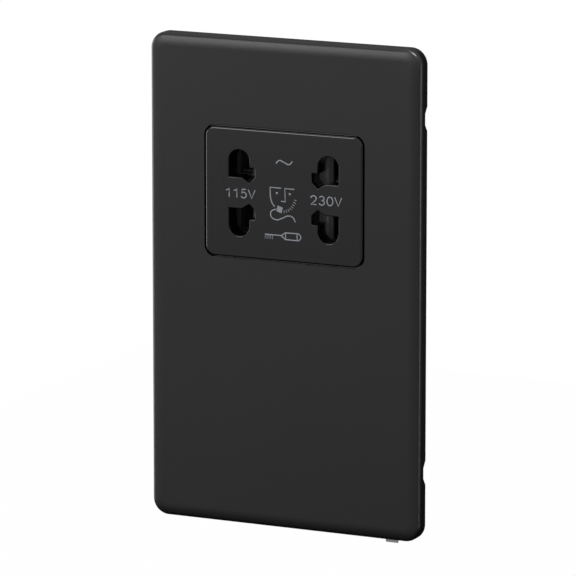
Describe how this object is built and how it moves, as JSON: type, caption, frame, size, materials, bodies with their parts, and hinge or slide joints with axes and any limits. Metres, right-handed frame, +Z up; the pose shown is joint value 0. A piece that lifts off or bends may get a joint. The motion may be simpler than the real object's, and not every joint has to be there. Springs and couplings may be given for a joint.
{
  "type": "shaver socket",
  "caption": "Two-gang vertical shaver supply socket with a screwless metal plate, a dual-voltage insert, an interlock slide and an isolating transformer behind.",
  "frame": {"origin": "midway between the two fixing holes, in the plane of the wall", "axes": "+X to the right, +Y into the wall, +Z up"},
  "size_m": [0.088, 0.0411, 0.1487],
  "materials": {
    "actuator_plastic": "natural nylon",
    "bobbin_plastic": "natural nylon",
    "brass": "plain brass",
    "carrier_plastic": "dark grey moulding",
    "contact_bronze": "phosphor bronze",
    "copper": "enamelled copper wire",
    "cutout_case": "phenolic",
    "frame_plastic": "black moulding",
    "gasket": "translucent grey foam",
    "housing_plastic": "black moulding with a fine grain",
    "insert_gloss": "gloss black moulding",
    "lamination": "stacked silicon steel",
    "plate_paint": "matt black powder coat",
    "screw_steel": "zinc-plated",
    "shutter_plastic": "smooth black moulding",
    "spring_steel": "bright spring steel",
    "strap_steel": "zinc-plated sheet",
    "switch_plastic": "black moulding"
  },
  "bodies": {
    "base": {"actuator_spring": "spring_steel", "bobbin": "bobbin_plastic", "contact_115_lower": "contact_bronze", "contact_115_upper": "contact_bronze", "contact_230_lower": "contact_bronze", "contact_230_upper": "contact_bronze", "contact_carrier": "carrier_plastic", "core_e": "lamination", "core_i": "lamination", "core_strap": "strap_steel", "earth_rivet": "brass", "earth_spring": "contact_bronze", "earth_terminal": "brass", "front_plate": "plate_paint", "housing_screws": "screw_steel", "live_terminal": "brass", "mounting_frame": "frame_plastic", "neutral_terminal": "brass", "primary_winding": "copper", "rear_housing": "housing_plastic", "secondary_winding": "copper", "socket_face": "insert_gloss", "spring_left": "spring_steel", "spring_right": "spring_steel", "strap_screws": "screw_steel", "switch_body": "switch_plastic", "switch_tabs": "brass", "terminal_block": "housing_plastic", "terminal_screws": "screw_steel", "thermal_cutout": "cutout_case", "wall_gasket": "gasket"},
    "interlock": {"shutter_slide": "shutter_plastic"},
    "actuator": {"actuator_bar": "actuator_plastic", "switch_button": "actuator_plastic"}
  },
  "joints": [
    {"name": "interlock_shift", "type": "slide", "parent": "base", "child": "interlock", "axis": [1, 0, 0], "range_m": [-0.004, 0.004], "stiffness_N_per_m": 150, "deforming": ["spring_left", "spring_right"]},
    {"name": "actuator_press", "type": "slide", "parent": "base", "child": "actuator", "axis": [0, 1, 0], "range_m": [0, 0.0015], "stiffness_N_per_m": 400, "springref_m": -0.0005, "deforming": ["actuator_spring"]}
  ]
}
